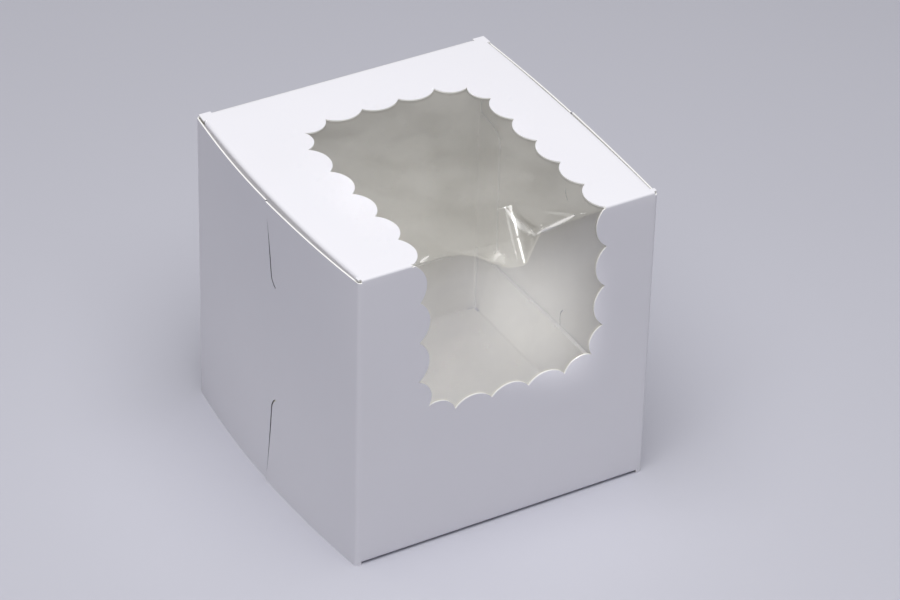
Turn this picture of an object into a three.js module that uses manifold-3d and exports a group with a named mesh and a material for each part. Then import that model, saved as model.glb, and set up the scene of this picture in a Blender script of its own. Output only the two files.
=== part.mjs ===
// A windowed bakery box of white paperboard, at its real size in millimetres.
// X runs to the right, Y to the back and Z up. The origin is the middle of the underside.
// The board is one folded sheet. The lid is the part of it that turns on the front wall's top crease.
import * as THREE from 'three';
import { mergeVertices } from 'three/addons/utils/BufferGeometryUtils.js';
import Module from 'manifold-3d';

const wasm = await Module();
wasm.setup();

// The box outside, crease to crease
const boxWidth = 102.4;
const boxDepth = 103.6;
const boxHeight = 104.6;

// The sheet materials and how the board folds
const board = 0.5;
const film = 0.15;
const foldRadius = 1.2;
const foldSides = 4;

// How far the free edges of each side wall stand out at mid depth, and how far from the edge that fades
const leftBow = { top: 3.4, bottom: 3.6 };
const rightBow = { top: 1.8, bottom: 2.5 };
const bowReach = 50;
const wallSteps = 2;
const riseSteps = 4;

// The locking slits, one down from the top and one up from the bottom of each side wall
const slitFromFront = 52;
const slitStraight = 27;
const slitWidth = 0.6;
const hookRadius = 4.5;
const hookTurn = 60;
const hookSides = 5;

// The crease between the front wall and the lid
const creaseGap = 0.6;

// The floor and its flaps, which stand up inside the walls
const floorClearance = 0.4;
const floorFlapHeight = 24;
const cornerTip = 2.4;

// The lid and its flaps, which hang down inside the walls
const lidClearance = 0.4;
const lidFlapDepth = 27.4;
const backFlapLean = 8;

// What all six flaps share
const flapRelief = 2.5;
const flapTaper = 3;
const flapCorner = 6;

// The tab that closes the loop of walls, glued inside the right wall between the upper and lower flaps
const tabWidth = 13;
const tabCorner = 6;
const tabClearance = 0.6;

// The scalloped window, which runs over the crease
const windowHalfWidth = 32.1;
const windowOffset = 1.7;
const windowOnLid = 82.5;
const windowOnFront = 56.9;
const lidScallops = { count: 5, pitch: 13.9 };
const frontScallops = { count: 3, pitch: 14.3 };
const endScallops = { count: 3, pitch: 12.8 };
const scallopBulge = 0.245;
const scallopSides = 6;
const cornerCuspIn = 3.5;
const cornerCuspShort = 4.1;
const creaseCuspShift = 1.6;

// The clear sheet glued behind the window
const filmMargin = 7;
const filmCreaseGap = 0.35;

// Places worked out from the sizes
const halfWidth = boxWidth / 2;
const halfDepth = boxDepth / 2;
const front = -halfDepth;
const wallTop = boxHeight - board - creaseGap;
const floorHalf = halfWidth - board - floorClearance;
const floorBack = halfDepth - board - floorClearance;
const lidHalf = halfWidth - board - lidClearance;
const lidBack = halfDepth - board - lidClearance;
const weld = 0.2;
const past = 2;

const AXIS_X = new THREE.Vector3(1, 0, 0);
const AXIS_Y = new THREE.Vector3(0, 1, 0);
const AXIS_Z = new THREE.Vector3(0, 0, 1);

// Points round part of a circle, angles in degrees
function arc(centreX, centreY, radius, from, to, sides) {
  const points = [];
  for (let step = 0; step <= sides; step += 1) {
    const angle = THREE.MathUtils.degToRad(THREE.MathUtils.lerp(from, to, step / sides));
    points.push(point(centreX + radius * Math.cos(angle), centreY + radius * Math.sin(angle)));
  }
  return points;
}

function point(x, y) {
  return new THREE.Vector2(x, y);
}

function extruded(shape, length, steps = 1) {
  return new THREE.ExtrudeGeometry(shape, { depth: length, steps, bevelEnabled: false });
}

// A profile drawn in Y and Z, run along X
function alongX(points, low, high) {
  const frame = new THREE.Matrix4().makeBasis(AXIS_Y, AXIS_Z, AXIS_X).setPosition(low, 0, 0);
  return extruded(new THREE.Shape(points), high - low).applyMatrix4(frame);
}

// A profile drawn in X and Z, run along Y
function alongY(points, low, high) {
  const frame = new THREE.Matrix4().makeBasis(AXIS_X, AXIS_Z, AXIS_Y.clone().negate()).setPosition(0, high, 0);
  return extruded(new THREE.Shape(points), high - low).applyMatrix4(frame);
}

// An outline drawn in X and Y, run along Z
function alongZ(points, low, high) {
  return extruded(new THREE.Shape(points), high - low).translate(0, 0, low);
}

function block(low, high) {
  const size = new THREE.Vector3().subVectors(high, low);
  const centre = new THREE.Vector3().addVectors(low, high).multiplyScalar(0.5);
  return new THREE.BoxGeometry(size.x, size.y, size.z).translate(centre.x, centre.y, centre.z);
}

// A closed geometry as a solid that can be joined and cut
function solid(geometry) {
  const bare = geometry.clone();
  bare.deleteAttribute('normal');
  bare.deleteAttribute('uv');
  const welded = mergeVertices(bare);
  return new wasm.Manifold(new wasm.Mesh({
    numProp: 3,
    vertProperties: new Float32Array(welded.attributes.position.array),
    triVerts: new Uint32Array(welded.index.array),
  }));
}

function geometryOf(manifold) {
  const mesh = manifold.getMesh();
  const geometry = new THREE.BufferGeometry();
  geometry.setAttribute('position', new THREE.BufferAttribute(mesh.vertProperties, mesh.numProp));
  geometry.setIndex(new THREE.BufferAttribute(mesh.triVerts, 1));
  geometry.computeVertexNormals();
  return geometry;
}

// The walls seen from above: a rectangle with folded corners, its side walls cut into steps so they can bow
function wallOutline(inset) {
  const radius = foldRadius - inset;
  const cornerX = halfWidth - foldRadius;
  const cornerY = halfDepth - foldRadius;
  const corners = [[1, -1], [1, 1], [-1, 1], [-1, -1]];
  return corners.flatMap(([sideX, sideY], index) => {
    const start = -90 + 90 * index;
    const points = arc(sideX * cornerX, sideY * cornerY, radius, start, start + 90, foldSides);
    if (index % 2 === 0) {
      for (let step = 1; step < wallSteps; step += 1) {
        const y = THREE.MathUtils.lerp(sideY * cornerY, -sideY * cornerY, step / wallSteps);
        points.push(point(sideX * (halfWidth - inset), y));
      }
    }
    return points;
  });
}

// Stands the free edges of the side walls out, most at mid depth and not at all at the corner folds
function bowSideWalls(geometry) {
  const positions = geometry.attributes.position;
  for (let index = 0; index < positions.count; index += 1) {
    const x = positions.getX(index);
    const y = positions.getY(index);
    const z = positions.getZ(index);
    const bow = x < 0 ? leftBow : rightBow;
    const along = Math.max(0, 1 - (y / (halfDepth - foldRadius)) ** 2);
    const nearTop = Math.max(0, 1 - (wallTop - z) / bowReach) ** 2;
    const nearBottom = Math.max(0, 1 - z / bowReach) ** 2;
    positions.setX(index, x + Math.sign(x) * along * (bow.top * nearTop + bow.bottom * nearBottom));
  }
  return geometry;
}

// A J-shaped slit, drawn in Y and Z, that runs in from an edge at height edge and hooks to the front
function slitOutline(edge, inward) {
  const half = slitWidth / 2;
  const slitY = front + slitFromFront;
  const outer = arc(-hookRadius, -slitStraight, hookRadius + half, 0, -hookTurn, hookSides);
  const inner = arc(-hookRadius, -slitStraight, hookRadius - half, -hookTurn, 0, hookSides);
  const outline = [point(half, past), ...outer, ...inner, point(-half, past)];
  return outline.map((corner) => point(slitY + corner.x, edge - inward * corner.y));
}

// A fold seen end on: a strip of panel that ends in a flap, turned up by turn degrees at the corner (0, 0)
function foldProfile(run, rise, turn) {
  const outer = arc(-foldRadius, foldRadius, foldRadius, -90, turn - 90, foldSides);
  const inner = arc(-foldRadius, foldRadius, foldRadius - board, turn - 90, -90, foldSides);
  const heading = THREE.MathUtils.degToRad(turn);
  const straight = point(Math.cos(heading), Math.sin(heading)).multiplyScalar(rise - foldRadius);
  const tip = [outer.at(-1).clone().add(straight), inner.at(0).clone().add(straight)];
  return [point(-run, 0), ...outer, ...tip, ...inner, point(-run, board)];
}

// A flap with tapered sides and round corners, folded up along Y from low to high, its corner on x = 0
function flap(low, high, rise, turn = 90) {
  const strip = alongY(foldProfile(foldRadius + past, rise, turn), low, high);
  const top = foldRadius + (rise - foldRadius) * Math.sin(THREE.MathUtils.degToRad(turn));
  const outline = [
    point(low, -past),
    point(high, -past),
    point(high, foldRadius),
    ...arc(high - flapTaper - flapCorner, top - flapCorner, flapCorner, 0, 90, foldSides),
    ...arc(low + flapTaper + flapCorner, top - flapCorner, flapCorner, 90, 180, foldSides),
    point(low, foldRadius),
  ];
  return geometryOf(solid(strip).intersect(solid(alongX(outline, -rise, rise))));
}

// Half of the window, from the crease at 0 to its end at length, in the flat sheet's own plane
function windowHalf(length, scallops) {
  const side = [];
  for (let step = 0; step <= scallops.count; step += 1) {
    side.push(point(-windowHalfWidth, step * scallops.pitch));
  }
  side.push(point(cornerCuspIn - windowHalfWidth, length - cornerCuspShort));
  for (let step = 0; step < endScallops.count / 2; step += 1) {
    side.push(point((step - endScallops.count / 2) * endScallops.pitch, length));
  }
  const otherSide = side.map((cusp) => point(-cusp.x, cusp.y)).reverse();
  const cusps = [...side, ...otherSide];
  cusps[0].x -= creaseCuspShift;
  cusps.at(-1).x -= creaseCuspShift;
  const outline = [point(cusps[0].x, -past)];
  cusps.slice(1).forEach((cusp, index) => outline.push(...scallop(cusps[index], cusp)));
  outline.push(cusps.at(-1), point(cusps.at(-1).x, -past));
  return outline;
}

// One lobe of board between two cusps, standing out to the right of the way from one to the other
function scallop(from, to) {
  const way = to.clone().sub(from);
  const chord = way.length();
  const bulge = chord * scallopBulge;
  const radius = (chord * chord / 4 + bulge * bulge) / (2 * bulge);
  const right = point(way.y, -way.x).normalize();
  const centre = from.clone().lerp(to, 0.5).addScaledVector(right, bulge - radius);
  const start = THREE.MathUtils.radToDeg(from.clone().sub(centre).angle());
  const turn = THREE.MathUtils.radToDeg(2 * Math.asin(chord / (2 * radius)));
  return arc(centre.x, centre.y, radius, start, start + turn, scallopSides).slice(0, -1);
}

function walls() {
  const shape = new THREE.Shape(wallOutline(0));
  shape.holes.push(new THREE.Path(wallOutline(board)));
  const loop = solid(bowSideWalls(extruded(shape, wallTop, riseSteps)));
  const upperSlit = solid(alongX(slitOutline(wallTop, -1), -boxWidth, boxWidth));
  const lowerSlit = solid(alongX(slitOutline(0, 1), -boxWidth, boxWidth));
  return loop.subtract(upperSlit).subtract(lowerSlit);
}

// The rounded fold between the front wall and the floor, short of the side walls' corner tips
function frontFold(wall) {
  const reach = halfWidth - cornerTip;
  const low = new THREE.Vector3(-reach, front - past, -past);
  const notch = block(low, new THREE.Vector3(reach, front + foldRadius, foldRadius));
  const profile = foldProfile(foldRadius + past, foldRadius + past, 90);
  const fold = alongX(profile, -reach, reach).rotateZ(Math.PI).translate(0, front, 0);
  return wall.subtract(solid(notch)).add(solid(fold));
}

function floorPanel() {
  const reach = floorHalf - foldRadius;
  const low = new THREE.Vector3(-reach, front + foldRadius, 0);
  return solid(block(low, new THREE.Vector3(reach, floorBack - foldRadius, board)));
}

function floorFlaps() {
  const low = front + foldRadius + flapRelief;
  const high = floorBack - foldRadius - flapRelief;
  const reach = floorHalf - foldRadius - flapRelief;
  const right = flap(low, high, floorFlapHeight).translate(floorHalf, 0, 0);
  const left = flap(-high, -low, floorFlapHeight).rotateZ(Math.PI).translate(-floorHalf, 0, 0);
  const back = flap(-reach, reach, floorFlapHeight).rotateZ(Math.PI / 2).translate(0, floorBack, 0);
  return [right, left, back].map(solid);
}

function glueTab() {
  const low = floorFlapHeight + tabClearance;
  const high = boxHeight - lidFlapDepth - tabClearance;
  const back = halfDepth - board + weld;
  const free = halfDepth - board - tabWidth;
  const sheet = new THREE.BoxGeometry(board + weld, back - free, high - low, 1, foldSides, riseSteps);
  sheet.translate(halfWidth - board * 1.5 + weld / 2, (back + free) / 2, (low + high) / 2);
  const outline = [
    point(back, low),
    point(back, high),
    ...arc(free + tabCorner, high - tabCorner, tabCorner, 90, 180, foldSides),
    ...arc(free + tabCorner, low + tabCorner, tabCorner, 180, 270, foldSides),
  ];
  return solid(bowSideWalls(sheet)).intersect(solid(alongX(outline, 0, boxWidth)));
}

function windowInFront() {
  const outline = windowHalf(windowOnFront, frontScallops);
  const placed = outline.map((corner) => point(windowOffset + corner.x, boxHeight - corner.y));
  return solid(alongY(placed, front - past, front + foldRadius));
}

function carton() {
  const body = frontFold(walls()).subtract(windowInFront());
  return [floorPanel(), ...floorFlaps(), glueTab()].reduce((whole, piece) => whole.add(piece), body);
}

// The lid's panel, full width at the crease and narrower where its side flaps fold down, its front edge rounded
function lidPanel() {
  const narrow = lidHalf - foldRadius;
  const shoulder = front + foldRadius + flapRelief + weld;
  const back = lidBack - foldRadius;
  const outline = [
    point(-lidHalf, front),
    point(lidHalf, front),
    point(lidHalf, shoulder),
    point(narrow, shoulder),
    point(narrow, back),
    point(-narrow, back),
    point(-narrow, shoulder),
    point(-lidHalf, shoulder),
  ];
  const under = boxHeight - board;
  const section = [
    ...arc(front + board, under, board, 180, 90, foldSides),
    point(halfDepth, boxHeight),
    point(halfDepth, under),
  ];
  const sheet = solid(alongZ(outline, under, boxHeight));
  return sheet.intersect(solid(alongX(section, -boxWidth, boxWidth)));
}

function lidFlaps() {
  const low = front + foldRadius + flapRelief;
  const high = lidBack - foldRadius - flapRelief;
  const reach = lidHalf - foldRadius - flapRelief;
  const lean = 90 + backFlapLean;
  const right = flap(-high, -low, lidFlapDepth).rotateX(Math.PI).translate(lidHalf, 0, boxHeight);
  const left = flap(low, high, lidFlapDepth).rotateX(Math.PI).rotateZ(Math.PI).translate(-lidHalf, 0, boxHeight);
  const back = flap(-reach, reach, lidFlapDepth, lean).rotateX(Math.PI).rotateZ(Math.PI / 2);
  back.translate(0, lidBack, boxHeight);
  return [right, left, back].map(solid);
}

function windowInLid() {
  const outline = windowHalf(windowOnLid, lidScallops);
  const placed = outline.map((corner) => point(windowOffset + corner.x, front + corner.y));
  return solid(alongZ(placed, boxHeight - board - past, boxHeight + past));
}

function lid() {
  const sheet = lidFlaps().reduce((whole, piece) => whole.add(piece), lidPanel());
  return sheet.subtract(windowInLid());
}

const filmLeft = windowOffset - windowHalfWidth - filmMargin;
const filmRight = windowOffset + windowHalfWidth + filmMargin;

// The film's lower half, flat against the inside of the front wall
function frontFilm() {
  const low = new THREE.Vector3(filmLeft, front + board, boxHeight - windowOnFront - filmMargin);
  return block(low, new THREE.Vector3(filmRight, front + board + film, wallTop));
}

// The film's upper half, flat against the underside of the lid
function lidFilm() {
  const under = boxHeight - board;
  const low = new THREE.Vector3(filmLeft, front + board + film + filmCreaseGap, under - film);
  return block(low, new THREE.Vector3(filmRight, front + windowOnLid + filmMargin, under));
}

const whiteBoard = new THREE.MeshStandardMaterial({ color: 0xf1f0f3, roughness: 0.6, metalness: 0 });
const clearFilm = new THREE.MeshStandardMaterial({
  color: 0xeef2f2,
  roughness: 0.05,
  metalness: 0,
  transparent: true,
  opacity: 0.2,
});

const box = new THREE.Group();
// The walls stand out further on one side than on the other, so the origin is put back under the middle
box.position.x = (leftBow.top - rightBow.top) / 2;

function add(name, geometry, material) {
  const mesh = new THREE.Mesh(geometry, material);
  mesh.name = name;
  box.add(mesh);
}

add('carton', geometryOf(carton()), whiteBoard);
add('lid', geometryOf(lid()), whiteBoard);
add('window_film_front', frontFilm(), clearFilm);
add('window_film_lid', lidFilm(), clearFilm);

export default box;
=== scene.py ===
"""A windowed bakery box of white paperboard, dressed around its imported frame. Lengths are in metres."""
import math

import bmesh
import bpy
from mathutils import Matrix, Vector


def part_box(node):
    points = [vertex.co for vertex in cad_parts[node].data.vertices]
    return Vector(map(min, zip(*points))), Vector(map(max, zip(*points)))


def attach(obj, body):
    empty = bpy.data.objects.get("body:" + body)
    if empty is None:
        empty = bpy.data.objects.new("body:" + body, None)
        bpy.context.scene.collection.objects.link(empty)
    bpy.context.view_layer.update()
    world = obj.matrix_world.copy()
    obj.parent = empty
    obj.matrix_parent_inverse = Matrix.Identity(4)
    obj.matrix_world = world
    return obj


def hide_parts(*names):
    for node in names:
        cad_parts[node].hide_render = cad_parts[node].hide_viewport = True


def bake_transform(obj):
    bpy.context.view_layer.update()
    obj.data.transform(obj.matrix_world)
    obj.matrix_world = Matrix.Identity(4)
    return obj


bl_info = {
    "name": "Windowed Bakery Box",
    "version": (1, 0, 0),
    "blender": (4, 5, 0),
    "location": "View3D > Sidebar > Bakery Box",
    "description": "Folds a paperboard bakery box with a scalloped film window",
    "category": "Add Mesh",
}

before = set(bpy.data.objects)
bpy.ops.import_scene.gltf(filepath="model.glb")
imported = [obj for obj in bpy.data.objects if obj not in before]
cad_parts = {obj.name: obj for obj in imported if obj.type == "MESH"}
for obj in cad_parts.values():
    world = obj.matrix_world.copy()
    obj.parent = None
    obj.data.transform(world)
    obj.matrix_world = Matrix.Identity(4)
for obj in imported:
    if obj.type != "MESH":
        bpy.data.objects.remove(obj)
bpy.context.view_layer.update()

MM = 0.001
LID_LOW, LID_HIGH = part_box("lid")
FILM_LOW, FILM_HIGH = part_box("window_film_lid")
MIDDLE = (LID_LOW.x + LID_HIGH.x) / 2
WINDOW_MIDDLE = (FILM_LOW.x + FILM_HIGH.x) / 2
# How far inside the walls' outer faces the lid's flaps and the floor's rear flap stand
LID_INSET = 0.9 * MM
# How far under the lid's face the walls' top edges end
WALL_DROP = 1.1 * MM
# Beside each fold line a flap's sides begin this far from the panel's corners
RELIEF = 2.5 * MM
FLAP_TAPER = 3 * MM
FLAP_CORNER = 6 * MM
# The strip that bends at the crease reaches this far down the front and back along the lid
CREASE_DOWN = 4 * MM
CREASE_BACK = 1.6 * MM
# The folds of the floor's side flaps begin this far inside the walls' outer faces
FLOOR_INSET = 2.0 * MM
# The right wall's rear edge ends this far before the back's outer face
WALL_SHORT = 0.1 * MM
# The glue tab: how far inside the right wall's outer face, its fold, its width and its two ends
TAB_INSET = 0.55 * MM
TAB_FOLD = 1.0 * MM
TAB_WIDTH = 12 * MM
TAB_LOW, TAB_HIGH = 24.6 * MM, 76.6 * MM
# The lid's rear corners reach this far past its fold lines
LID_EAR = 1.5 * MM
# The locking slits: how far behind the front, the straight part, and the hook's radius and turn in degrees
SLIT_BACK = 52 * MM
SLIT_STRAIGHT = 27 * MM
SLIT_HOOK = 4.5 * MM
SLIT_TURN = 60
# Half the gap of a slit in the left wall and in the right wall
SLIT_HALF_GAPS = {-1: 0.3 * MM, 1: 0.15 * MM}
# The two sides of a slit stand apart within this distance from the wall's edge, and from the slit
APART_HEIGHT = 20 * MM
APART_DEPTH = 26 * MM
# The window's lobes: their pitch down the front, back along the lid and across its ends
FRONT_PITCH = 14.3 * MM
LID_PITCH = 13.9 * MM
END_PITCH = 12.8 * MM
# The film: its gap to the board, and how far its glued margin reaches past the window's ends and sides
FILM_GAP = 0.1 * MM
FILM_END_MARGIN = 6.5 * MM
FILM_SIDE_MARGIN = 6.8 * MM
# How far the side walls' bow fades in from their free edges
BOW_REACH = 70 * MM
# Long flat panels are cut into strips this wide, so that they can bow
STRIP = 4 * MM
# Slack when edges and faces are picked by their place
SLACK = 0.04 * MM
# Faces round each fold
FOLD_STEPS = 5


def linear(code):
    """An sRGB hex colour as linear red, green and blue."""
    parts = [int(code[i:i + 2], 16) / 255 for i in (1, 3, 5)]
    return [p / 12.92 if p <= 0.04045 else ((p + 0.055) / 1.055) ** 2.4 for p in parts]


def length(name, description, default):
    return bpy.props.FloatProperty(
        name=name, description=description, default=default, unit="LENGTH", precision=5)


def colour(name, description, code):
    return bpy.props.FloatVectorProperty(
        name=name, description=description, default=linear(code), subtype="COLOR", size=3, min=0, max=1)


class BakeryBoxSizes(bpy.types.PropertyGroup):
    width: length("Width", "Outside of the box from left fold to right fold",
                  LID_HIGH.x - LID_LOW.x + 2 * LID_INSET)
    depth: length("Depth", "Outside of the box from front to back", -2 * LID_LOW.y)
    height: length("Height", "Underside to the top of the lid", LID_HIGH.z)
    board: length("Board", "Thickness of the paperboard", 0.5 * MM)
    fold: length("Fold radius", "Outside radius of every fold", 1.2 * MM)
    crease_fold: length("Crease radius", "Outside radius of the fold between the front and the lid",
                        0.7 * MM)
    bow_left_top: length("Left bow, top", "How far the left wall's top edge stands out", 3.1 * MM)
    bow_left_bottom: length("Left bow, bottom", "How far the left wall's bottom edge stands out", 3.3 * MM)
    bow_right_top: length("Right bow, top", "How far the right wall's top edge stands out", 1.5 * MM)
    bow_right_bottom: length("Right bow, bottom", "How far the right wall's bottom edge stands out", 2.3 * MM)
    lid_follows: bpy.props.FloatProperty(
        name="Lid follows", description="Share of the side walls' bow that the lid's sides follow",
        default=0.75, min=0, max=0.8)
    slit_step: length("Slit step", "How far the two sides of a slit stand apart", 0.4 * MM)
    floor_lift: length("Floor lift", "How far the floor hangs above the walls' bottom edges",
                       0.6 * MM)
    lid_flap: length("Lid flap", "How far the lid's flaps hang down inside", LID_HIGH.z - LID_LOW.z)
    floor_flap: length("Floor flap", "How far the floor's flaps stand up inside", 24 * MM)
    window_half_width: length("Window half width", "Middle of the window to its side points", 32.1 * MM)
    window_on_lid: length("Window on lid", "Crease to the window's rear points", 82.5 * MM)
    window_on_front: length("Window on front", "Crease to the window's lowest points", 56.9 * MM)


class BakeryBoxFinish(bpy.types.PropertyGroup):
    coated: colour("Coated face", "The board's white outer face", "#EFEEF4")
    inside: colour("Inside face", "The board's uncoated inner face", "#F5F3EE")
    edge: colour("Cut edge", "The pulp that shows where the board is cut", "#FBFAF8")
    # The slit colour is painted shade: a dark grey for the shade inside each slit's narrow gap
    slit: colour("Slit", "The inside of a slit, painted dark for its shade", "#7C7A82")
    floor: colour("Studio floor", "The plain sheet under the box", "#CACAD4")


def near(value, target):
    return abs(value - target) < SLACK


def spread(low, high, step):
    """Places from low to high in even steps of about the given length."""
    count = max(1, round((high - low) / step))
    return [low + (high - low) * i / count for i in range(count + 1)]


def start_editing(piece):
    bpy.ops.object.select_all(action="DESELECT")
    piece.select_set(True)
    bpy.context.view_layer.objects.active = piece
    bpy.ops.object.mode_set(mode="EDIT")
    bpy.ops.mesh.select_all(action="DESELECT")


def pick(kind, keep):
    """Selects the faces or edges whose corners all pass keep(x, y, z), with x from the middle of the box."""
    bpy.ops.mesh.select_mode(type=kind)
    bpy.ops.mesh.select_all(action="DESELECT")
    data = bpy.context.object.data
    mesh = bmesh.from_edit_mesh(data)
    for part in mesh.faces if kind == "FACE" else mesh.edges:
        part.select_set(all(keep(v.co.x - MIDDLE, v.co.y, v.co.z) for v in part.verts))
    bmesh.update_edit_mesh(data)


def cut_across(axis, places):
    """Cuts all the faces along planes square to one axis."""
    normal = Vector((axis == "X", axis == "Y", axis == "Z"))
    for place in places:
        bpy.ops.mesh.select_all(action="SELECT")
        point = normal * place + Vector((MIDDLE * normal.x, 0, 0))
        bpy.ops.mesh.bisect(plane_co=point, plane_no=normal)


def fold_over(centre, axis, degrees):
    """Turns the selected edges round a crease, right-handed about the axis."""
    x, y, z = centre
    bpy.ops.mesh.spin(steps=FOLD_STEPS, angle=math.radians(-degrees), center=(x + MIDDLE, y, z), axis=axis)


def pull(x, y, z):
    bpy.ops.mesh.extrude_edges_move(TRANSFORM_OT_translate={"value": (x, y, z)})


def pull_flap(way, across, middle, rise, half, begin, taper=FLAP_TAPER, corner=FLAP_CORNER):
    """Pulls the selected edges out into a flap with tapered sides and round corners."""
    outline = [(rise - corner, half - taper)]
    for degrees in (25, 50, 70, 85):
        angle = math.radians(degrees)
        outline.append((rise - corner + corner * math.sin(angle),
                        half - taper - corner + corner * math.cos(angle)))
    reach, wide = begin, half
    centre = Vector(middle) + Vector((MIDDLE, 0, 0))
    for next_reach, next_wide in outline:
        pull(*(Vector(way) * (next_reach - reach)))
        shrink = next_wide / wide
        scale = [shrink if letter == across else 1 for letter in "XYZ"]
        bpy.ops.transform.resize(value=scale, center_override=centre)
        reach, wide = next_reach, next_wide


def add_panel(name, width, height, turn, centre):
    """A flat panel of board, ready to be folded."""
    bpy.ops.object.select_all(action="DESELECT")
    bpy.ops.mesh.primitive_plane_add(size=1, rotation=turn, location=(centre[0] + MIDDLE, centre[1], centre[2]))
    piece = bpy.context.object
    piece.name = piece.data.name = name
    piece.scale = (width, height, 1)
    bpy.ops.object.transform_apply(location=True, rotation=True, scale=True)
    start_editing(piece)
    return piece


def face_outwards(piece, inside):
    """Turns the sheet's faces outwards, checked on its biggest face, which has to face away from inside."""
    bpy.ops.mesh.select_all(action="SELECT")
    bpy.ops.mesh.remove_doubles(threshold=0.002 * MM)
    bpy.ops.mesh.normals_make_consistent(inside=False)
    mesh = bmesh.from_edit_mesh(piece.data)
    biggest = max(mesh.faces, key=lambda face: face.calc_area())
    if biggest.normal.dot(biggest.calc_center_median() - Vector(inside)) < 0:
        bpy.ops.mesh.flip_normals()
    bpy.ops.object.mode_set(mode="OBJECT")


def apply_modifier(piece, kind, **settings):
    modifier = piece.modifiers.new(kind.title(), kind)
    for name, value in settings.items():
        setattr(modifier, name, value)
    bpy.ops.object.select_all(action="DESELECT")
    piece.select_set(True)
    bpy.context.view_layer.objects.active = piece
    bpy.ops.object.modifier_apply(modifier=modifier.name)


def give_board(piece, sizes):
    """Gives the sheet its thickness: coated outside, plain inside, raw pulp on the cut edges."""
    for name in ("Clay coated white paperboard", "Uncoated paperboard inside", "Cut paperboard edge",
                 "Slit faces painted dark for their shade"):
        piece.data.materials.append(bpy.data.materials[name])
    apply_modifier(piece, "SOLIDIFY", thickness=sizes.board, offset=-1, use_even_offset=True,
                   material_offset=1, material_offset_rim=2)


def arc(centre_x, centre_y, radius, start, end, sides):
    angles = [math.radians(start + (end - start) * i / sides) for i in range(sides + 1)]
    return [Vector((centre_x + radius * math.cos(a), centre_y + radius * math.sin(a))) for a in angles]


def add_cutter(outline, way, finish="Cut paperboard edge"):
    """A block with the outline's cross section, a list of 3-D corners, run along way."""
    bpy.ops.object.select_all(action="DESELECT")
    bpy.ops.mesh.primitive_circle_add(vertices=len(outline), fill_type="NGON")
    cutter = bpy.context.object
    for vertex, corner in zip(cutter.data.vertices, outline):
        vertex.co = corner
    bpy.ops.object.mode_set(mode="EDIT")
    bpy.ops.mesh.select_all(action="SELECT")
    bpy.ops.mesh.extrude_region_move(TRANSFORM_OT_translate={"value": way})
    bpy.ops.mesh.select_all(action="SELECT")
    bpy.ops.mesh.normals_make_consistent(inside=False)
    bpy.ops.object.mode_set(mode="OBJECT")
    cutter.data.materials.append(bpy.data.materials[finish])
    return cutter


def cut_out(piece, cutter):
    apply_modifier(piece, "BOOLEAN", operation="DIFFERENCE", solver="EXACT", material_mode="TRANSFER",
                   object=cutter)
    bpy.data.objects.remove(cutter)


def scallop(start, end, bulge=0.245, sides=10):
    """One lobe of board between two points of the window's edge, to the right of the way between them."""
    way = end - start
    chord = way.length
    rise = chord * bulge
    radius = (chord * chord / 4 + rise * rise) / (2 * rise)
    right = Vector((way.y, -way.x)).normalized()
    centre = (start + end) / 2 + right * (rise - radius)
    first = math.degrees(math.atan2(start.y - centre.y, start.x - centre.x))
    turn = math.degrees(2 * math.asin(min(1, chord / (2 * radius))))
    return arc(centre.x, centre.y, radius, first, first + turn, sides)[:-1]


def window_outline(sizes, reach, places, crease_points=(-35.3 * MM, 31.1 * MM)):
    """The window's edge from the crease to its far end: x from the window's middle, y from the crease."""
    half, past = sizes.window_half_width, 2 * MM
    left = [Vector((-half, place)) for place in places]
    left.append(Vector((3.5 * MM - half, reach - 4.1 * MM)))
    left += [Vector(((step - 1.5) * END_PITCH, reach)) for step in (0, 1)]
    points = left + [Vector((-point.x, point.y)) for point in reversed(left)]
    points[0].x, points[-1].x = crease_points
    edge = [Vector((points[0].x, -past))]
    for start, end in zip(points, points[1:]):
        edge += scallop(start, end)
    return edge + [points[-1], Vector((points[-1].x, -past))]


def cut_window(piece, sizes):
    """Cuts the scalloped window through the front wall and the lid.

    The cutters reach just through the board, so that neither cuts the other's lobes at the crease.
    """
    front, top = -sizes.depth / 2, sizes.height
    outside, inside = 3 * MM, 0.7 * MM
    places = [step * FRONT_PITCH for step in range(4)]
    edge = window_outline(sizes, sizes.window_on_front, places)
    outline = [Vector((p.x + WINDOW_MIDDLE, front - outside, top - p.y)) for p in edge]
    cut_out(piece, add_cutter(outline, (0, outside + inside, 0)))
    places = [step * LID_PITCH for step in range(6)]
    edge = window_outline(sizes, sizes.window_on_lid, places)
    outline = [Vector((p.x + WINDOW_MIDDLE, front + p.y, top - inside)) for p in edge]
    cut_out(piece, add_cutter(outline, (0, 0, outside + inside)))


def cut_slit(piece, sizes, side, edge, inward):
    """Cuts one J-shaped locking slit, which hooks to the front, through one side wall.

    The edge is the height it starts from. Inward is 1 where it runs up from there and -1 where it runs down.
    """
    half, past, sides = SLIT_HALF_GAPS[side], 2 * MM, 6
    slit = -sizes.depth / 2 + SLIT_BACK
    outline = [Vector((half, past)),
               *arc(-SLIT_HOOK, -SLIT_STRAIGHT, SLIT_HOOK + half, 0, -SLIT_TURN, sides),
               *arc(-SLIT_HOOK, -SLIT_STRAIGHT, SLIT_HOOK - half, -SLIT_TURN, 0, sides),
               Vector((-half, past))]
    # Through the wall, and no deeper than a scratch into the floor's flap behind it
    inner = sizes.width / 2 - 0.85 * MM
    corners = [Vector((MIDDLE + side * inner, slit + p.x, edge - inward * p.y)) for p in outline]
    # The slit's cut faces take the slit colour, a painted shade
    cut_out(piece, add_cutter(corners, (side * 3 * MM, 0, 0), "Slit faces painted dark for their shade"))


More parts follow.
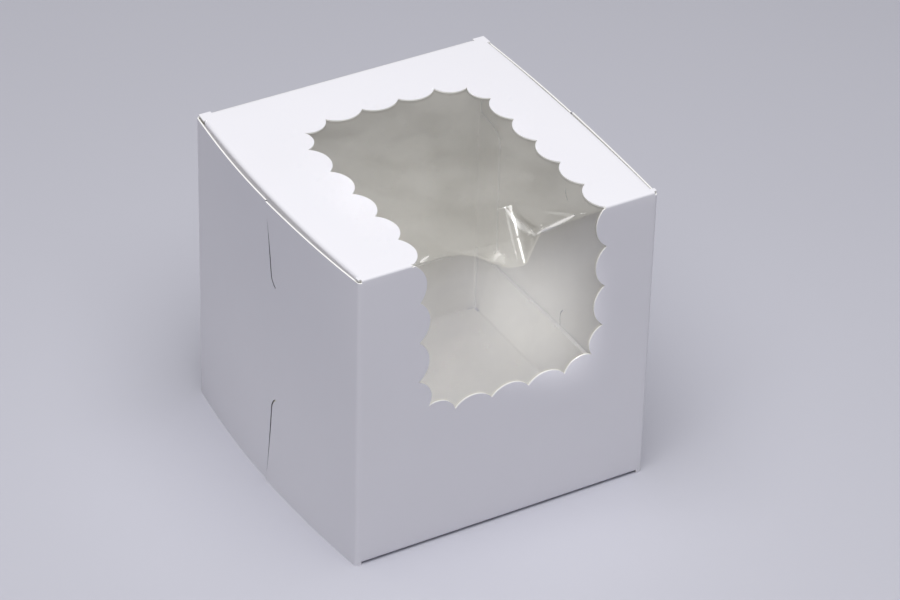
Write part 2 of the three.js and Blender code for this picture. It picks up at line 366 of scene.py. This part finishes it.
def bow_sides(piece, sizes, share, begin, slit_step):
    """Stands the free edges of the side walls out at mid depth, and the two sides of each slit apart.

    The share is how much of that bow the piece follows. Its sides begin that far out from the middle.
    """
    half_depth, wall_top, slit = sizes.depth / 2, sizes.height - WALL_DROP, -sizes.depth / 2 + SLIT_BACK
    bows = {-1: (sizes.bow_left_top, sizes.bow_left_bottom),
            1: (sizes.bow_right_top, sizes.bow_right_bottom)}
    for vertex in piece.data.vertices:
        x, y, z = vertex.co.x - MIDDLE, vertex.co.y, vertex.co.z
        if abs(x) < begin:
            continue
        side = 1 if x > 0 else -1
        top, bottom = bows[side]
        along = max(0, 1 - (y / (half_depth - sizes.fold)) ** 2)
        near_top = min(1, max(0, 1 - (wall_top - z) / BOW_REACH)) ** 2
        near_bottom = max(0, 1 - z / BOW_REACH) ** 2
        apart = max(0, 1 - min(wall_top - z, z) / APART_HEIGHT)
        apart *= max(0, 1 - abs(y - slit) / APART_DEPTH) ** 2 * (-0.5 if y > slit else 0.5)
        vertex.co.x += side * (along * share * (top * near_top + bottom * near_bottom) + slit_step * apart)


def finish_board(piece):
    bpy.ops.object.select_all(action="DESELECT")
    piece.select_set(True)
    bpy.context.view_layer.objects.active = piece
    bpy.ops.object.shade_smooth_by_angle(angle=math.radians(25))


class BAKERYBOX_OT_carton(bpy.types.Operator):
    """Folds the walls, the glue tab, the floor and the floor's flaps from one sheet of board"""
    bl_idname = "bakery_box.carton"
    bl_label = "Walls and Floor"

    def execute(self, context):
        sizes = context.scene.bakery_box_sizes
        half, deep, fold = sizes.width / 2, sizes.depth / 2, sizes.fold
        wall_top, lift = sizes.height - WALL_DROP, sizes.floor_lift
        walls = add_panel("carton_board", wall_top, 2 * deep - fold - WALL_SHORT, (0, math.radians(90), 0),
                          (half, (fold - WALL_SHORT) / 2, wall_top / 2))
        pick("EDGE", lambda x, y, z: near(y, fold - deep))
        fold_over((half - fold, fold - deep, 0), (0, 0, 1), -90)
        pull(2 * (fold - half), 0, 0)
        fold_over((fold - half, fold - deep, 0), (0, 0, 1), -90)
        pull(0, 2 * (deep - fold), 0)
        fold_over((fold - half, deep - fold, 0), (0, 0, 1), -90)
        tab = half - TAB_INSET
        pull(tab - TAB_FOLD + half - fold, 0, 0)
        fold_over((tab - TAB_FOLD, deep - TAB_FOLD, 0), (0, 0, 1), -90)

        floor_line, crease_line = lift + fold, sizes.height - CREASE_DOWN
        levels = [floor_line, *spread(floor_line, TAB_LOW, STRIP)[1:], *spread(TAB_LOW, TAB_HIGH, STRIP)[1:],
                  *spread(TAB_HIGH, crease_line, STRIP)[1:]]
        cut_across("Z", levels)
        cut_across("Y", spread(fold - deep, deep - fold, STRIP)[1:-1])

        pick("EDGE", lambda x, y, z: near(x, tab) and near(y, deep - TAB_FOLD)
             and TAB_LOW < z + SLACK / 2 < TAB_HIGH + SLACK)
        pull_flap((0, -1, 0), "Z", (tab, 0, (TAB_LOW + TAB_HIGH) / 2), TAB_WIDTH, (TAB_HIGH - TAB_LOW) / 2, 0,
                  taper=MM)

        corner = half - FLOOR_INSET
        cut_across("X", (-corner, corner))
        pick("FACE", lambda x, y, z: near(y, -deep) and z < floor_line + SLACK and abs(x) < corner + SLACK)
        bpy.ops.mesh.delete(type="FACE")
        pick("FACE", lambda x, y, z: near(y, -deep) and z > crease_line - SLACK)
        bpy.ops.mesh.delete(type="FACE")

        back = deep - LID_INSET - fold
        pick("EDGE", lambda x, y, z: near(y, -deep) and near(z, floor_line) and abs(x) < corner + SLACK)
        fold_over((0, fold - deep, floor_line), (1, 0, 0), 90)
        pull(0, RELIEF, 0)
        pull(0, back - RELIEF - (fold - deep + RELIEF), 0)
        pull(0, RELIEF, 0)
        pick("FACE", lambda x, y, z: near(z, lift) and y > back - RELIEF - SLACK)
        bpy.ops.mesh.bisect(plane_co=(MIDDLE - corner + RELIEF, 0, 0), plane_no=(1, 0, 0))
        pick("FACE", lambda x, y, z: near(z, lift) and y > back - RELIEF - SLACK)
        bpy.ops.mesh.bisect(plane_co=(MIDDLE + corner - RELIEF, 0, 0), plane_no=(1, 0, 0))

        low, high = fold - deep + RELIEF, back - RELIEF
        for side in (-1, 1):
            pick("EDGE", lambda x, y, z: near(x, side * corner) and near(z, lift)
                 and low - SLACK < y < high + SLACK)
            fold_over((side * corner, 0, floor_line), (0, 1, 0), -90 * side)
            pull_flap((0, 0, 1), "Y", (0, (low + high) / 2, 0), sizes.floor_flap - lift, (high - low) / 2, fold)
        pick("EDGE", lambda x, y, z: near(y, back) and near(z, lift) and abs(x) < corner - RELIEF + SLACK)
        fold_over((0, back, floor_line), (1, 0, 0), 90)
        pull_flap((0, 0, 1), "X", (0, 0, 0), sizes.floor_flap - lift, corner - RELIEF, fold)

        face_outwards(walls, (MIDDLE, 0, sizes.height / 2))
        give_board(walls, sizes)
        for side in (-1, 1):
            cut_slit(walls, sizes, side, wall_top, -1)
            cut_slit(walls, sizes, side, 0, 1)
        cut_window(walls, sizes)
        bow_sides(walls, sizes, 1, half - 1.25 * MM, sizes.slit_step)
        finish_board(walls)
        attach(walls, "carton")
        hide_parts("carton")
        return {"FINISHED"}


class BAKERYBOX_OT_crease(bpy.types.Operator):
    """Adds the board that turns over the front crease beside the window"""
    bl_idname = "bakery_box.crease"
    bl_label = "Front Crease"

    def execute(self, context):
        sizes = context.scene.bakery_box_sizes
        half, front, fold, top = sizes.width / 2, -sizes.depth / 2, sizes.crease_fold, sizes.height
        low = top - CREASE_DOWN
        rise = CREASE_DOWN - fold
        width = half - sizes.fold
        crease = add_panel("crease_board", 2 * width, rise, (math.radians(90), 0, 0),
                           (0, front, low + rise / 2))
        pick("EDGE", lambda x, y, z: near(z, top - fold))
        fold_over((0, front + fold, top - fold), (1, 0, 0), -90)
        pull(0, CREASE_BACK - fold, 0)
        for side in (-1, 1):
            pick("EDGE", lambda x, y, z: near(x, side * width) and near(z, top) and y > front + fold - SLACK)
            pull(side * 1.0 * MM, 0, 0)
        face_outwards(crease, (MIDDLE, 0, sizes.height / 2))
        give_board(crease, sizes)
        cut_window(crease, sizes)
        finish_board(crease)
        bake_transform(crease)
        return {"FINISHED"}


class BAKERYBOX_OT_lid(bpy.types.Operator):
    """Adds the lid's panel behind the crease, with the three flaps that tuck inside the walls"""
    bl_idname = "bakery_box.lid"
    bl_label = "Lid"

    def execute(self, context):
        sizes = context.scene.bakery_box_sizes
        half, deep, fold, top = sizes.width / 2 - LID_INSET, sizes.depth / 2, sizes.fold, sizes.height
        side, low, back = half - fold, CREASE_BACK - deep, deep - LID_INSET - fold
        begin = low + 0.6 * MM
        lid = add_panel("lid_board", 2 * side, back - low, (0, 0, 0), (0, (back + low) / 2, top))
        cut_across("Y", (begin, *spread(begin, back - RELIEF, STRIP)[1:]))
        cut_across("X", (-side + RELIEF, side - RELIEF))
        for turn in (-1, 1):
            pick("EDGE", lambda x, y, z: near(x, turn * side) and y < begin + SLACK)
            pull(turn * (sizes.width / 2 - 0.2 * MM - side), 0, 0)
            pick("EDGE", lambda x, y, z: near(x, turn * side) and begin - SLACK < y < back - RELIEF + SLACK)
            fold_over((turn * side, 0, top - fold), (0, 1, 0), 90 * turn)
            middle = (begin + back - RELIEF) / 2
            pull_flap((0, 0, -1), "Y", (0, middle, 0), sizes.lid_flap, back - RELIEF - middle, fold)
            pick("EDGE", lambda x, y, z: near(x, turn * side) and y > back - RELIEF - SLACK)
            pull(turn * LID_EAR, 0, 0)
            pick("EDGE", lambda x, y, z: near(y, back) and near(z, top) and turn * x > side - RELIEF - SLACK)
            pull(0, LID_EAR, 0)
        # The rear flap leans 2 degrees towards the front
        lean = math.radians(2)
        pick("EDGE", lambda x, y, z: near(y, back) and abs(x) < side - RELIEF + SLACK)
        fold_over((0, back, top - fold), (1, 0, 0), -90 - math.degrees(lean))
        way = (0, -math.sin(lean), -math.cos(lean))
        pull_flap(way, "X", (0, 0, 0), sizes.lid_flap, side - RELIEF, fold)
        face_outwards(lid, (MIDDLE, 0, sizes.height / 2))
        give_board(lid, sizes)
        cut_window(lid, sizes)
        bow_sides(lid, sizes, sizes.lid_follows, side - 0.6 * MM, 0)
        finish_board(lid)
        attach(lid, "lid")
        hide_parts("lid")
        return {"FINISHED"}


def read_curve(values, x):
    """Reads a curve given as (place, value) pairs, straight between them."""
    if x <= values[0][0]:
        return values[0][1]
    for (x0, v0), (x1, v1) in zip(values, values[1:]):
        if x <= x1:
            t = (x - x0) / (x1 - x0)
            return v0 + (v1 - v0) * t
    return values[-1][1]


# Where the buckle in the film begins, in mm: x from the window's middle, then how far down the front or back
# along the lid
DENT_FRONT = [(-26, -1), (-19, 0.5), (-13.2, 3.3), (-8.2, 7), (-2.2, 10.9), (4, 12), (40, 12)]
DENT_LID = [(-27, -1), (-21, 7.3), (-12, 11), (-3, 14.3), (1.7, 15.1), (7.4, 14.9), (40, 14.9)]
# The same for its right side, where the film comes back out
RETURN_FRONT = [(-10, 35), (4, 12), (9.3, 1.2), (22.5, 0.4), (26, -1)]
RETURN_LID = [(-10, 152), (7.4, 14.9), (9.3, 0.8), (22.5, 0.4), (26, -1)]

# Painted highlights along the film's buckle, mostly on its folds, in mm on the sheet: two ends, how white, how
# wide in the middle
PAINTED_FOLD_HIGHLIGHTS = [
    ((5.2, 14.4), (7.8, -1.8), 0.95, 0.8),
    ((7.8, -1.8), (20.8, 0.8), 0.85, 1.0),
    ((5.2, 14.4), (1.6, -11.7), 0.5, 0.7),
    ((7.8, -1.8), (1.6, -11.7), 0.15, 0.6),
    ((5.6, 8), (3.4, -9), 0.22, 2.4),
    ((14.5, 14.4), (14, 6.5), 0.12, 0.7),
    ((14, 6.5), (20.8, 0.8), 0.35, 1.6),
    ((-31.8, 0.6), (-28, 2.4), 0.8, 0.7),
    ((-24.9, 7), (-8.8, 12.3), 0.05, 0.8),
]


def painted_highlight_strength(x, along):
    """How strongly the painted highlights on the film's folds show at a place on the sheet, in mm."""
    most = 0
    for (x0, a0), (x1, a1), white, width in PAINTED_FOLD_HIGHLIGHTS:
        run, rise = x1 - x0, a1 - a0
        t = ((x - x0) * run + (along - a0) * rise) / (run * run + rise * rise)
        t = min(1, max(0, t))
        off = math.hypot(x - x0 - t * run, along - a0 - t * rise)
        half = width * max(0.3, math.sqrt(4 * t * (1 - t)))
        most = max(most, white * math.exp(-(off / half) ** 2))
    return most


def cut_depth(front, lid, along):
    """How far in a flat cut across the corner pushes the film, at a place along it from the crease."""
    if front <= 0 or lid <= 0:
        return min(0, front, lid) - abs(along) * 0.5
    slope = front / lid
    return (front + along) / (1 + slope) if along < 0 else (front - slope * along) / (1 + slope)


def soft_least(a, b, reach=0.35):
    """The lesser of two values, rounded off where they meet."""
    return 0.5 * (a + b - math.sqrt((a - b) ** 2 + reach * reach))


def film_push(x, along):
    """How far the buckled film stands in from the corner, in mm."""
    dent = cut_depth(read_curve(DENT_FRONT, x), read_curve(DENT_LID, x), along)
    back = cut_depth(read_curve(RETURN_FRONT, x), read_curve(RETURN_LID, x), along)
    inward = soft_least(dent, back)
    return max(0, -soft_least(-inward, 0))


class BAKERYBOX_OT_window_film(bpy.types.Operator):
    """Adds the clear film behind the window, buckled inwards where it turns over the crease"""
    bl_idname = "bakery_box.window_film"
    bl_label = "Window Film"

    def execute(self, context):
        sizes = context.scene.bakery_box_sizes
        front, top = -sizes.depth / 2 + sizes.board + FILM_GAP, sizes.height - sizes.board - FILM_GAP
        down, back = sizes.window_on_front + FILM_END_MARGIN, sizes.window_on_lid + FILM_END_MARGIN
        half = sizes.window_half_width + FILM_SIDE_MARGIN
        bpy.ops.object.select_all(action="DESELECT")
        bpy.ops.mesh.primitive_grid_add(x_subdivisions=150, y_subdivisions=292, size=1)
        film = bpy.context.object
        film.name = film.data.name = "window_film"
        corner = 0.8 * MM
        # This attribute holds the painted highlights along the film's folds
        white = film.data.attributes.new("painted_fold_highlights", "FLOAT", "POINT")
        for vertex in film.data.vertices:
            x = vertex.co.x * 2 * half
            along = -down + (vertex.co.y + 0.5) * (down + back)
            push = film_push(x / MM, along / MM) * MM
            rounding = max(0, corner - abs(along)) * 0.35
            y = front + max(0, along) + push + rounding
            z = top + min(0, along) - push - rounding
            vertex.co = (x + WINDOW_MIDDLE, y, z)
            white.data[vertex.index].value = painted_highlight_strength(x / MM, along / MM)
        film.data.materials.append(bpy.data.materials["Clear polypropylene film"])
        bpy.ops.object.shade_smooth()
        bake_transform(film)
        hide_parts("window_film_front", "window_film_lid")
        return {"FINISHED"}


def add_node(tree, kind, settings=None, links=None):
    """Adds a node, sets properties or sockets by name or number, and joins sockets to other nodes' outputs."""
    node = tree.nodes.new(kind)
    for name, value in (settings or {}).items():
        if isinstance(name, int) or name in node.inputs:
            node.inputs[name].default_value = value
        else:
            setattr(node, name, value)
    for name, source in (links or {}).items():
        tree.links.new(source, node.inputs[name])
    return node


def new_material(name):
    material = bpy.data.materials.new(name)
    material.use_nodes = True
    material.node_tree.nodes.clear()
    return material.node_tree


def shades(tree, factor, dark, light):
    """Mixes two colours by a factor. The numbers are the Mix node's sockets for colours."""
    mix = add_node(tree, "ShaderNodeMix", {"data_type": "RGBA", 6: (*dark, 1), 7: (*light, 1)}, {0: factor})
    return mix.outputs[2]


def scaled(tone, share):
    return [value * share for value in tone]


def make_coated(finish):
    """Clay coated board: smooth, faintly satin, with the slow unevenness of calendered paper."""
    tree = new_material("Clay coated white paperboard")
    place = add_node(tree, "ShaderNodeTexCoord").outputs["Object"]
    # Slow mottling about 25 mm across, and a fine tooth drawn 0.6 mm wide so that it can show
    slow = add_node(tree, "ShaderNodeTexNoise", {"Scale": 40, "Detail": 2}, {"Vector": place}).outputs[0]
    tooth = add_node(tree, "ShaderNodeTexNoise", {"Scale": 1600, "Detail": 3}, {"Vector": place}).outputs[0]
    tone = shades(tree, slow, scaled(finish.coated, 0.975), finish.coated)
    rough = add_node(tree, "ShaderNodeMapRange", {"To Min": 0.46, "To Max": 0.56}, {"Value": slow}).outputs[0]
    wave = add_node(tree, "ShaderNodeBump", {"Strength": 0.25, "Distance": 0.0006}, {"Height": slow}).outputs[0]
    grain = add_node(tree, "ShaderNodeBump", {"Strength": 0.08, "Distance": 0.0001},
                     {"Height": tooth, "Normal": wave}).outputs[0]
    shader = add_node(tree, "ShaderNodeBsdfPrincipled", {"IOR": 1.5, "Specular IOR Level": 0.35},
                      {"Base Color": tone, "Roughness": rough, "Normal": grain})
    add_node(tree, "ShaderNodeOutputMaterial", links={"Surface": shader.outputs[0]})


def make_inside(finish):
    """Uncoated board: matt, a little warmer, with fibres and pale flecks."""
    tree = new_material("Uncoated paperboard inside")
    place = add_node(tree, "ShaderNodeTexCoord").outputs["Object"]
    # Clumps of pulp 1 to 3 mm across
    pulp = add_node(tree, "ShaderNodeTexNoise", {"Scale": 500, "Detail": 5}, {"Vector": place}).outputs[0]
    tone = shades(tree, pulp, scaled(finish.inside, 0.93), finish.inside)
    rub = add_node(tree, "ShaderNodeBump", {"Strength": 0.12, "Distance": 0.0002}, {"Height": pulp}).outputs[0]
    shader = add_node(tree, "ShaderNodeBsdfPrincipled",
                      {"Roughness": 0.9, "IOR": 1.45, "Specular IOR Level": 0.2},
                      {"Base Color": tone, "Normal": rub})
    add_node(tree, "ShaderNodeOutputMaterial", links={"Surface": shader.outputs[0]})


def make_edge(finish):
    """Raw pulp at a cut: the whitest and roughest part of the board."""
    tree = new_material("Cut paperboard edge")
    place = add_node(tree, "ShaderNodeTexCoord").outputs["Object"]
    fibre = add_node(tree, "ShaderNodeTexNoise", {"Scale": 2500, "Detail": 4}, {"Vector": place}).outputs[0]
    tone = shades(tree, fibre, scaled(finish.edge, 0.94), finish.edge)
    rub = add_node(tree, "ShaderNodeBump", {"Strength": 0.2, "Distance": 0.0001}, {"Height": fibre}).outputs[0]
    shader = add_node(tree, "ShaderNodeBsdfPrincipled", {"Roughness": 1.0, "Specular IOR Level": 0.1},
                      {"Base Color": tone, "Normal": rub})
    add_node(tree, "ShaderNodeOutputMaterial", links={"Surface": shader.outputs[0]})


def make_slit(finish):
    """Board crushed by the slit's die, painted dark grey as painted shade: little light reaches inside the gap,
    so it reads as a thin dark line.
    """
    tree = new_material("Slit faces painted dark for their shade")
    place = add_node(tree, "ShaderNodeTexCoord").outputs["Object"]
    fibre = add_node(tree, "ShaderNodeTexNoise", {"Scale": 1500, "Detail": 4}, {"Vector": place}).outputs[0]
    tone = shades(tree, fibre, scaled(finish.slit, 0.8), finish.slit)
    rub = add_node(tree, "ShaderNodeBump", {"Strength": 0.3, "Distance": 0.0001}, {"Height": fibre}).outputs[0]
    shader = add_node(tree, "ShaderNodeBsdfPrincipled", {"Roughness": 1.0, "Specular IOR Level": 0.1},
                      {"Base Color": tone, "Normal": rub})
    add_node(tree, "ShaderNodeOutputMaterial", links={"Surface": shader.outputs[0]})


def make_film(finish):
    """Polypropylene film: clear straight on and a little hazy, a mirror at a slant, with painted highlights on
    its folds and painted light down the front.
    """
    tree = new_material("Clear polypropylene film")
    place = add_node(tree, "ShaderNodeTexCoord").outputs["Object"]
    slow = add_node(tree, "ShaderNodeTexNoise", {"Scale": 30, "Detail": 1}, {"Vector": place}).outputs[0]
    ripple = add_node(tree, "ShaderNodeBump", {"Strength": 0.5, "Distance": 0.0008},
                      {"Height": slow}).outputs[0]
    slant = add_node(tree, "ShaderNodeLayerWeight", {"Blend": 0.5}).outputs["Facing"]
    power = add_node(tree, "ShaderNodeMath", {"operation": "POWER", 1: 5.0}, {0: slant}).outputs[0]
    # Hazy patches about 15 mm across, and painted light down the front: a larger mirror share there, grown over
    # the first 12 mm, brightens the front window as the lit floor and walls behind it would
    patch = add_node(tree, "ShaderNodeTexNoise", {"Scale": 65, "Detail": 2}, {"Vector": place}).outputs[0]
    cloud = add_node(tree, "ShaderNodeMapRange",
                     {"From Min": 0.3, "From Max": 0.7, "To Min": 0.15, "To Max": 0.25},
                     {"Value": patch}).outputs[0]
    height = add_node(tree, "ShaderNodeSeparateXYZ", links={0: place}).outputs[2]
    # Painted light: more mirror share on the front part of the film
    front_painted_light = add_node(tree, "ShaderNodeMapRange",
                     {"From Min": FILM_HIGH.z - 12 * MM, "From Max": FILM_HIGH.z,
                      "To Min": 0.18, "To Max": 0.0},
                     {"Value": height}).outputs[0]
    haze_and_front_light = add_node(tree, "ShaderNodeMath", {"operation": "ADD"}, {0: cloud, 1: front_painted_light}).outputs[0]
    slanted = add_node(tree, "ShaderNodeMapRange", {"To Max": 1.0}, {"Value": power, "To Min": haze_and_front_light}).outputs[0]
    # Painted highlights: the attribute raises the mirror share along the buckle's folds, standing in for the
    # lamp's glints
    white = add_node(tree, "ShaderNodeAttribute", {"attribute_name": "painted_fold_highlights"}).outputs["Fac"]
    share = add_node(tree, "ShaderNodeMath", {"operation": "MAXIMUM"}, {0: slanted, 1: white}).outputs[0]
    clear = add_node(tree, "ShaderNodeBsdfTransparent", {"Color": (0.97, 0.97, 0.965, 1)})
    mirror = add_node(tree, "ShaderNodeBsdfPrincipled",
                      {"Base Color": (0.96, 0.95, 0.93, 1), "Metallic": 0.55, "Roughness": 0.08},
                      {"Normal": ripple})
    mixed = add_node(tree, "ShaderNodeMixShader", links={0: share, 1: clear.outputs[0], 2: mirror.outputs[0]})
    add_node(tree, "ShaderNodeOutputMaterial", links={"Surface": mixed.outputs[0]})


def make_studio_floor(finish):
    """A matt lilac-grey paper sweep with faint cloudiness."""
    tree = new_material("Matt studio paper")
    place = add_node(tree, "ShaderNodeTexCoord").outputs["Object"]
    cloud = add_node(tree, "ShaderNodeTexNoise", {"Scale": 5, "Detail": 2}, {"Vector": place}).outputs[0]
    tone = shades(tree, cloud, scaled(finish.floor, 0.97), finish.floor)
    shader = add_node(tree, "ShaderNodeBsdfPrincipled", {"Roughness": 0.8, "Specular IOR Level": 0.2},
                      {"Base Color": tone})
    add_node(tree, "ShaderNodeOutputMaterial", links={"Surface": shader.outputs[0]})


class BAKERYBOX_OT_finishes(bpy.types.Operator):
    """Makes the board, film and floor materials"""
    bl_idname = "bakery_box.finishes"
    bl_label = "Finishes"

    def execute(self, context):
        finish = context.scene.bakery_box_finish
        for make in (make_coated, make_inside, make_edge, make_slit, make_film, make_studio_floor):
            make(finish)
        return {"FINISHED"}


def add_softbox(name, place, size, power, target=(0, 0, 0.05), beam=180):
    """A square lamp that looks at the middle of the box, or at another target. The beam is in degrees."""
    bpy.ops.object.light_add(type="AREA", location=place)
    lamp = bpy.context.object
    lamp.name = lamp.data.name = name
    lamp.data.size = size
    lamp.data.energy = power
    lamp.data.spread = math.radians(beam)
    lamp.rotation_euler = (Vector(target) - Vector(place)).to_track_quat("-Z", "Y").to_euler()


class BAKERYBOX_OT_studio(bpy.types.Operator):
    """Adds the plain floor, the soft lamps, the pale surroundings and the camera"""
    bl_idname = "bakery_box.studio"
    bl_label = "Studio"

    def execute(self, context):
        bpy.ops.object.select_all(action="DESELECT")
        bpy.ops.mesh.primitive_plane_add(size=6)
        floor = bpy.context.object
        floor.name = floor.data.name = "studio_floor"
        floor.data.materials.append(bpy.data.materials["Matt studio paper"])

        add_softbox("softbox_overhead", (-0.14, -0.22, 1.1), 1.0, 13.2)
        add_softbox("snoot_through_lid", (-0.05, -0.44, 1.1), 0.05, 0.002, (0, -0.01, 0.1046), 2)
        add_softbox("snoot_through_front", (-0.5, -0.9, 0.76), 0.03, 0.0023, (0.008, -0.052, 0.0745), 1.2)

        world = bpy.data.worlds.new("Pale studio")
        context.scene.world = world
        world.use_nodes = True
        tree = world.node_tree
        tree.nodes.clear()
        path = add_node(tree, "ShaderNodeLightPath").outputs
        around = add_node(tree, "ShaderNodeBackground", {"Color": (0.94, 0.94, 1.0, 1), "Strength": 0.11})
        seen = add_node(tree, "ShaderNodeBackground", {"Color": (0.5, 0.5, 0.56, 1), "Strength": 1.0})
        mirrored = add_node(tree, "ShaderNodeBackground", {"Color": (0.95, 0.94, 0.92, 1), "Strength": 1.0})
        lit = add_node(tree, "ShaderNodeMixShader",
                       links={0: path["Is Glossy Ray"], 1: around.outputs[0], 2: mirrored.outputs[0]})
        mixed = add_node(tree, "ShaderNodeMixShader",
                         links={0: path["Is Camera Ray"], 1: lit.outputs[0], 2: seen.outputs[0]})
        add_node(tree, "ShaderNodeOutputWorld", links={"Surface": mixed.outputs[0]})

        turn = [math.radians(a) for a in (55.540, -1.250, -29.876)]
        bpy.ops.object.camera_add(location=(-0.51438, -0.88399, 0.75246), rotation=turn)
        camera = bpy.context.object
        camera.data.lens = 159.8
        camera.data.clip_start = 0.05
        context.scene.camera = camera
        context.scene.view_settings.view_transform = "Standard"
        return {"FINISHED"}


class BAKERYBOX_PT_panel(bpy.types.Panel):
    bl_label = "Bakery Box"
    bl_idname = "BAKERYBOX_PT_panel"
    bl_space_type = "VIEW_3D"
    bl_region_type = "UI"
    bl_category = "Bakery Box"

    def draw(self, context):
        for group in (context.scene.bakery_box_sizes, context.scene.bakery_box_finish):
            for name in group.bl_rna.properties.keys():
                if name not in ("rna_type", "name"):
                    self.layout.prop(group, name)
        for operator in OPERATORS:
            self.layout.operator(operator.bl_idname)


OPERATORS = (BAKERYBOX_OT_finishes, BAKERYBOX_OT_carton, BAKERYBOX_OT_crease, BAKERYBOX_OT_lid,
             BAKERYBOX_OT_window_film, BAKERYBOX_OT_studio)
CLASSES = (BakeryBoxSizes, BakeryBoxFinish, *OPERATORS, BAKERYBOX_PT_panel)


def register():
    for item in CLASSES:
        bpy.utils.register_class(item)
    bpy.types.Scene.bakery_box_sizes = bpy.props.PointerProperty(type=BakeryBoxSizes)
    bpy.types.Scene.bakery_box_finish = bpy.props.PointerProperty(type=BakeryBoxFinish)


def unregister():
    del bpy.types.Scene.bakery_box_finish
    del bpy.types.Scene.bakery_box_sizes
    for item in reversed(CLASSES):
        bpy.utils.unregister_class(item)


def main():
    register()
    bpy.ops.bakery_box.finishes()
    bpy.ops.bakery_box.carton()
    bpy.ops.bakery_box.crease()
    bpy.ops.bakery_box.lid()
    bpy.ops.bakery_box.window_film()
    bpy.ops.bakery_box.studio()


if __name__ == "__main__":
    main()
